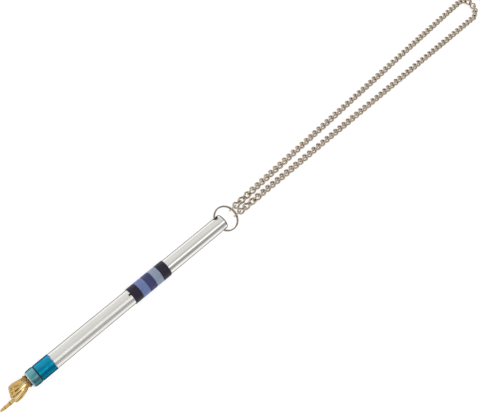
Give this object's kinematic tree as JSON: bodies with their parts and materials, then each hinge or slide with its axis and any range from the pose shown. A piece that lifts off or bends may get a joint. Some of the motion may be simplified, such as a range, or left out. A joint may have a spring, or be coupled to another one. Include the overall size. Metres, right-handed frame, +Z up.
{
  "type": "reading pointer",
  "caption": "Pointing-hand reading pointer with a metal barrel, thread bands, a split ring and a looped curb chain.",
  "frame": {"origin": "on the barrel's axis, where the bare barrel starts behind its bright washer", "axes": "+X along the barrel from the hand towards the ring and chain, +Z up from the table, +Y to the side of the folded fingers"},
  "size_m": [0.4535, 0.0258, 0.011],
  "materials": {
    "gilt": "polished gilt casting, darker in its creases",
    "steel": "turned steel",
    "pale_anodised": "satin anodised, pale grey-teal",
    "black_rubber": "matt black",
    "teal_anodised": "satin anodised, deep teal-blue",
    "polished_aluminium": "polished",
    "aluminium": "drawn tube, lightly polished along its length",
    "navy_thread": "waxed wound thread, ink navy",
    "periwinkle_thread": "waxed wound thread, periwinkle blue",
    "indigo_thread": "waxed wound thread, dark indigo",
    "pale_blue_thread": "waxed wound thread, pale steel blue",
    "nickel_steel": "nickel-plated steel, warm grey"
  },
  "bodies": {
    "pointer": {"pointing_hand": "gilt", "hand_stud": "steel", "nose_cap": "pale_anodised", "spacer_ring": "black_rubber", "teal_collar": "teal_anodised", "bright_washer": "polished_aluminium", "front_core": "aluminium", "barrel_tube": "aluminium", "band_navy_front": "navy_thread", "band_periwinkle": "periwinkle_thread", "band_indigo": "indigo_thread", "band_pale_blue": "pale_blue_thread", "band_navy_rear": "navy_thread", "thread_end": "navy_thread", "rear_plug": "polished_aluminium"},
    "ring": {"split_ring": "nickel_steel"},
    "chain_1": {"jump_links": "nickel_steel", "chain_1": "nickel_steel"},
    "chain_2": {"chain_2": "nickel_steel"},
    "chain_3": {"chain_3": "nickel_steel"},
    "chain_4": {"chain_4": "nickel_steel"},
    "chain_5": {"chain_5": "nickel_steel"},
    "chain_6": {"chain_6": "nickel_steel"},
    "chain_7": {"chain_7": "nickel_steel"},
    "chain_8": {"chain_8": "nickel_steel"}
  },
  "joints": [
    {"name": "ring_swing", "type": "hinge", "parent": "pointer", "child": "ring", "pos_m": [0.1272, 0, 0], "axis": [0, -1, 0], "range_deg": [-60, 90]},
    {"name": "chain_on_ring", "type": "hinge", "parent": "ring", "child": "chain_1", "pos_m": [0.14195, 0, -0.00303], "axis": [0.0244, -0.9997, 0], "range_deg": [-45, 45]},
    {"name": "chain_bend_2", "type": "hinge", "parent": "chain_1", "child": "chain_2", "pos_m": [0.18103, 0.00096, -0.00303], "axis": [0.0244, -0.9997, 0], "range_deg": [-20, 20]},
    {"name": "chain_bend_3", "type": "hinge", "parent": "chain_2", "child": "chain_3", "pos_m": [0.21741, 0.00184, -0.00303], "axis": [0.0244, -0.9997, 0], "range_deg": [-20, 20]},
    {"name": "chain_bend_4", "type": "hinge", "parent": "chain_3", "child": "chain_4", "pos_m": [0.25379, 0.00273, -0.00303], "axis": [0.0244, -0.9997, 0], "range_deg": [-20, 20]},
    {"name": "chain_bend_5", "type": "hinge", "parent": "chain_4", "child": "chain_5", "pos_m": [0.29017, 0.00362, -0.00303], "axis": [0.0244, -0.9997, 0], "range_deg": [-20, 20]},
    {"name": "chain_bend_6", "type": "hinge", "parent": "chain_5", "child": "chain_6", "pos_m": [0.32654, 0.00451, -0.00303], "axis": [0.0244, -0.9997, 0], "range_deg": [-20, 20]},
    {"name": "chain_bend_7", "type": "hinge", "parent": "chain_6", "child": "chain_7", "pos_m": [0.36292, 0.0054, -0.00303], "axis": [0.0244, -0.9997, 0], "range_deg": [-20, 20]},
    {"name": "chain_bend_8", "type": "hinge", "parent": "chain_7", "child": "chain_8", "pos_m": [0.39931, 0.00629, -0.00303], "axis": [0.0244, -0.9997, 0], "range_deg": [-20, 20]}
  ]
}
